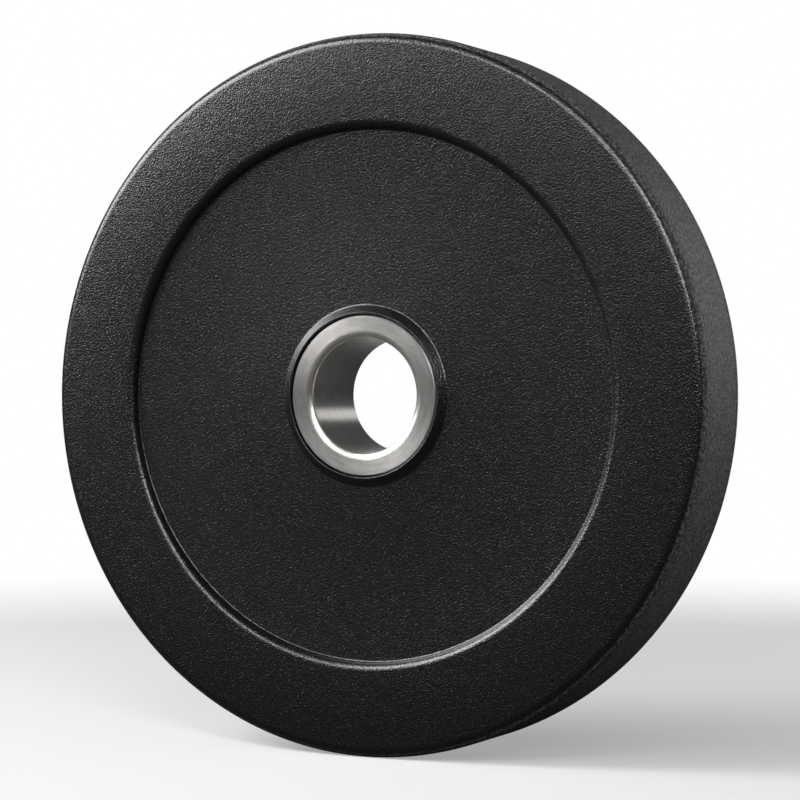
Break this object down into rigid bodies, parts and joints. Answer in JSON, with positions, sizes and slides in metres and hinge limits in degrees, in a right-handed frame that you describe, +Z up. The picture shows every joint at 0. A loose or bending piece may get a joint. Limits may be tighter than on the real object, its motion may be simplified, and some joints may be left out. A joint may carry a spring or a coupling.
{
  "type": "bumper plate",
  "caption": "Round rubber weight plate with a raised rim, a recessed disc on each face and a thick steel centre sleeve that slides on a 50 mm bar.",
  "frame": {"origin": "centre of the bore, midway between the two faces, which is the centre of the whole plate", "axes": "+Y along the bore from the front face to the back face, so the front looks to -Y; +Z up with the plate upright as it hangs on a bar; +X to the right seen from the front"},
  "size_m": [0.316, 0.045, 0.316],
  "materials": {
    "moulded_rubber": "near-black moulded rubber with a fine leathery grain, semi-matt",
    "stainless_steel": "turned and brushed stainless steel, fine rings round the bore",
    "mild_steel": "dark mill-scale mild steel, hidden in the rubber",
    "weld_metal": "as-laid weld metal, hidden in the rubber"
  },
  "bodies": {
    "root": {"rubber_body": "moulded_rubber", "hub_sleeve": "stainless_steel", "anchor_plate": "mild_steel", "weld_bead": "weld_metal"}
  },
  "joints": []
}
